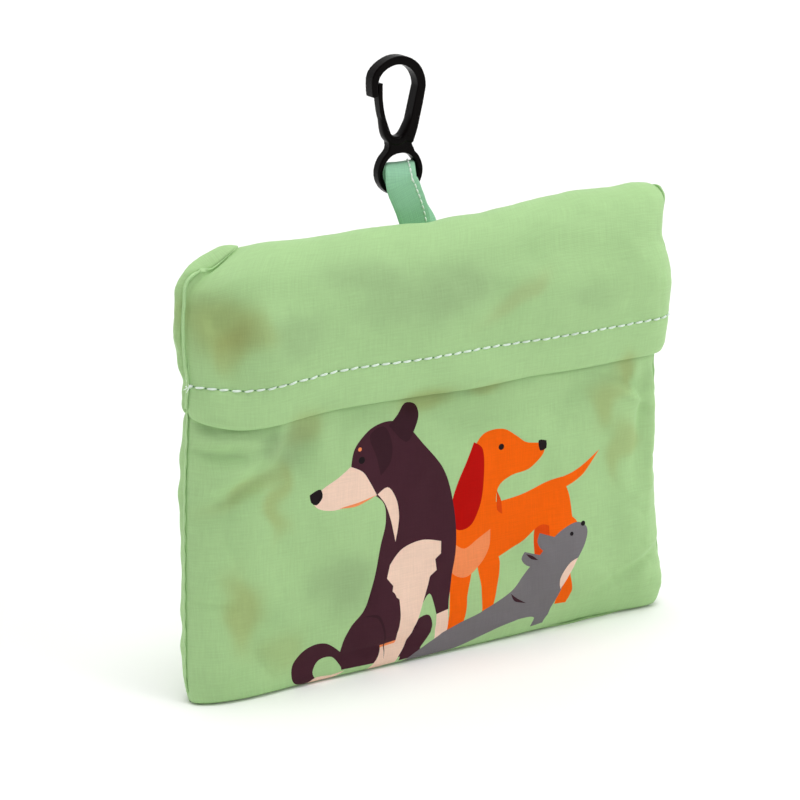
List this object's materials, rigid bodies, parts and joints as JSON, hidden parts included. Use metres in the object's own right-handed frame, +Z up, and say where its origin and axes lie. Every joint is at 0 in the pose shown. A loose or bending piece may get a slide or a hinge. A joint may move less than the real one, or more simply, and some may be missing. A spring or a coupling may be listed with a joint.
{
  "type": "foldable tote bag",
  "caption": "Thin fabric shopping tote folded into its own upright pouch, with a hood flap that turns over the mouth, a sewn hang loop and a moulded snap hook.",
  "frame": {"origin": "on the ground under the middle of the pouch's floor, midway between its side seams", "axes": "+X to the right seen from the front, +Y to the back, +Z up; the hood's hem and the printed front face -Y"},
  "size_m": [0.1438, 0.0277, 0.158],
  "materials": {
    "pouch_fabric": "fine plain-weave polyester, light green, soft sheen",
    "tote_fabric": "the same fine plain-weave polyester, folded",
    "loop_tape": "folded polyester tape, mint green, closely woven",
    "thread": "twisted polyester sewing thread, pale mint",
    "hook_plastic": "injection-moulded acetal, black, semi-gloss"
  },
  "bodies": {
    "pouch": {"pouch_floor": "pouch_fabric", "pouch_front_panel": "pouch_fabric", "pouch_back_panel": "pouch_fabric", "pouch_mouth_hem": "pouch_fabric", "left_side_seam": "pouch_fabric", "right_side_seam": "pouch_fabric", "tote_front_panel": "tote_fabric", "tote_back_panel": "tote_fabric", "tote_bottom_seam": "tote_fabric", "tote_front_hem": "tote_fabric", "tote_back_hem": "tote_fabric", "tote_front_handle": "tote_fabric", "tote_back_handle": "tote_fabric"},
    "hood": {"hood_panel": "pouch_fabric", "hood_hem_fold": "pouch_fabric", "hood_left_end": "pouch_fabric", "hood_right_end": "pouch_fabric", "hood_topstitch": "thread"},
    "loop": {"loop_tape": "loop_tape", "loop_stitching": "thread"},
    "hook": {"hook_body": "hook_plastic"},
    "gate": {"hook_gate": "hook_plastic"}
  },
  "joints": [
    {"name": "hood_hinge", "type": "hinge", "parent": "pouch", "child": "hood", "pos_m": [0, 0.009, 0.1082], "axis": [-1, 0, 0], "range_deg": [0, 90]},
    {"name": "loop_flex", "type": "hinge", "parent": "hood", "child": "loop", "pos_m": [-0.00015, 0.0105, 0.1103], "axis": [-1, 0, 0], "range_deg": [-15, 35]},
    {"name": "hook_swing", "type": "hinge", "parent": "loop", "child": "hook", "pos_m": [-0.00165, 0.0135, 0.12265], "axis": [-1, 0, 0], "range_deg": [-45, 45]},
    {"name": "gate_flex", "type": "hinge", "parent": "hook", "child": "gate", "pos_m": [-0.0049, 0.0135, 0.1384], "axis": [0, 1, 0], "range_deg": [0, 25], "stiffness_Nm_per_rad": 0.03}
  ]
}
